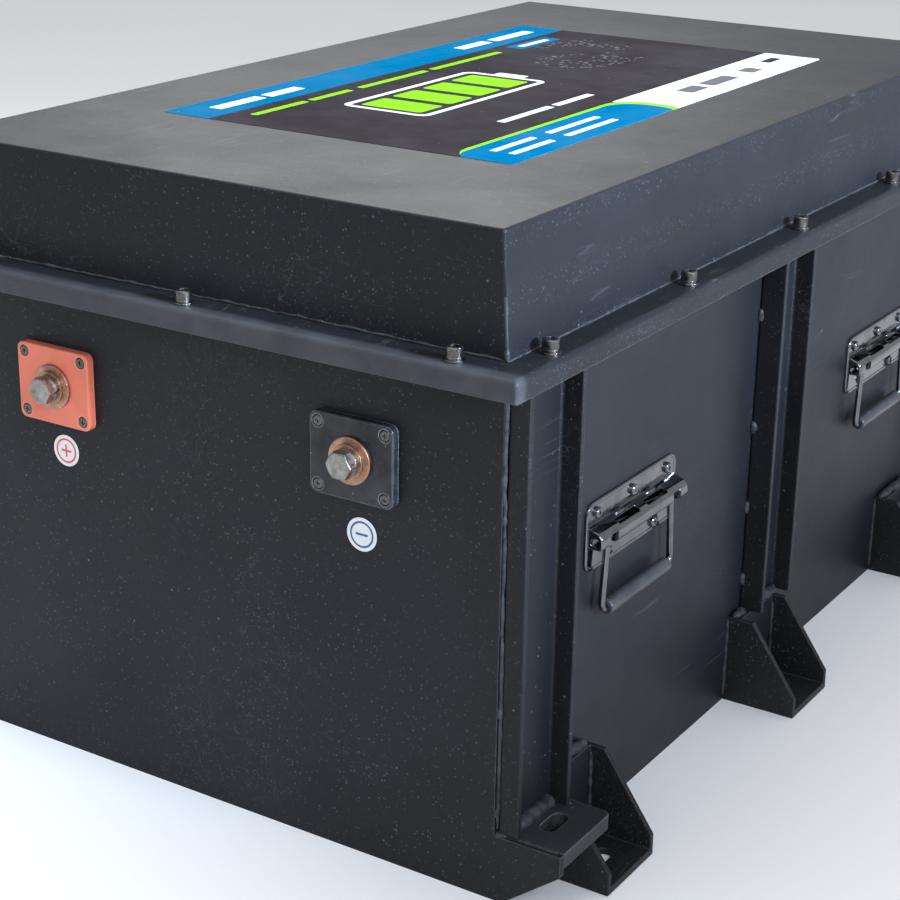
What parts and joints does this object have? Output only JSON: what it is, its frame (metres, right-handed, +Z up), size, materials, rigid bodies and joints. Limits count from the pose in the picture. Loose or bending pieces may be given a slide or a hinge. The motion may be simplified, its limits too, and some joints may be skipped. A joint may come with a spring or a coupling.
{
  "type": "battery box",
  "caption": "Black steel battery box with a bolted lid, end terminals, swinging side handles and gusseted floor feet.",
  "frame": {"origin": "middle of the case's footprint at floor level", "axes": "+Z up; the wall with the two terminals faces -Y; +Y runs along the case's length; +X is the long side to the right when facing the terminals"},
  "size_m": [0.552, 0.804, 0.4203],
  "materials": {
    "black_powder_coat": "satin powder coat with a fine grain",
    "gasket_rubber": "matte",
    "zinc_steel": "satin zinc plate",
    "red_moulding": "satin moulding",
    "black_moulding": "glossy moulding with worn edges",
    "copper": "turned copper",
    "sticker_film": "printed film",
    "label_film": "printed film",
    "chrome_plate": "bright plate",
    "black_sleeve": "satin",
    "cell_wrap": "film wrap",
    "bare_aluminium": "milled",
    "grey_moulding": "matte",
    "lead_jacket": "matte"
  },
  "bodies": {
    "case": {"floor_plate": "black_powder_coat", "front_wall": "black_powder_coat", "rear_wall": "black_powder_coat", "right_wall": "black_powder_coat", "left_wall": "black_powder_coat", "rim_frame": "black_powder_coat", "lid": "black_powder_coat", "corner_post_front_right": "black_powder_coat", "corner_post_front_left": "black_powder_coat", "corner_post_rear_right": "black_powder_coat", "corner_post_rear_left": "black_powder_coat", "middle_rib_right": "black_powder_coat", "middle_rib_left": "black_powder_coat", "foot_front_right": "black_powder_coat", "foot_front_left": "black_powder_coat", "foot_middle_right": "black_powder_coat", "foot_middle_left": "black_powder_coat", "foot_rear_right": "black_powder_coat", "foot_rear_left": "black_powder_coat", "lug_front_right": "black_powder_coat", "lug_front_left": "black_powder_coat", "lug_rear_right": "black_powder_coat", "lug_rear_left": "black_powder_coat", "lid_gasket": "gasket_rubber", "lid_screws": "zinc_steel", "lid_spring_washers": "zinc_steel", "lid_flat_washers": "zinc_steel", "lid_nuts": "zinc_steel", "insulator_screws": "zinc_steel", "terminal_spring_washers": "zinc_steel", "terminal_bolts": "zinc_steel", "positive_insulator": "red_moulding", "negative_insulator": "black_moulding", "positive_boss": "copper", "negative_boss": "copper", "cell_busbars": "copper", "plus_sticker": "sticker_film", "minus_sticker": "sticker_film", "top_label": "label_film", "handle_plate_front_right": "chrome_plate", "handle_plate_front_left": "chrome_plate", "handle_plate_rear_right": "chrome_plate", "handle_plate_rear_left": "chrome_plate", "handle_screws": "chrome_plate", "battery_cells": "cell_wrap", "cell_frames": "bare_aluminium", "equipment_deck": "bare_aluminium", "battery_manager": "bare_aluminium", "main_contactor": "grey_moulding", "main_fuse": "grey_moulding", "positive_leads": "lead_jacket", "negative_leads": "lead_jacket"},
    "bail_front_right": {"handle_bail_front_right": "chrome_plate", "handle_grip_front_right": "black_sleeve"},
    "bail_front_left": {"handle_bail_front_left": "chrome_plate", "handle_grip_front_left": "black_sleeve"},
    "bail_rear_right": {"handle_bail_rear_right": "chrome_plate", "handle_grip_rear_right": "black_sleeve"},
    "bail_rear_left": {"handle_bail_rear_left": "chrome_plate", "handle_grip_rear_left": "black_sleeve"}
  },
  "joints": [
    {"name": "bail_front_right_hinge", "type": "hinge", "parent": "case", "child": "bail_front_right", "pos_m": [0.2275, -0.222, 0.2045], "axis": [0, -1, 0], "range_deg": [0, 90]},
    {"name": "bail_front_left_hinge", "type": "hinge", "parent": "case", "child": "bail_front_left", "pos_m": [-0.2275, -0.222, 0.2045], "axis": [0, 1, 0], "range_deg": [0, 90]},
    {"name": "bail_rear_right_hinge", "type": "hinge", "parent": "case", "child": "bail_rear_right", "pos_m": [0.2275, 0.194, 0.2045], "axis": [0, -1, 0], "range_deg": [0, 90]},
    {"name": "bail_rear_left_hinge", "type": "hinge", "parent": "case", "child": "bail_rear_left", "pos_m": [-0.2275, 0.194, 0.2045], "axis": [0, 1, 0], "range_deg": [0, 90]}
  ]
}
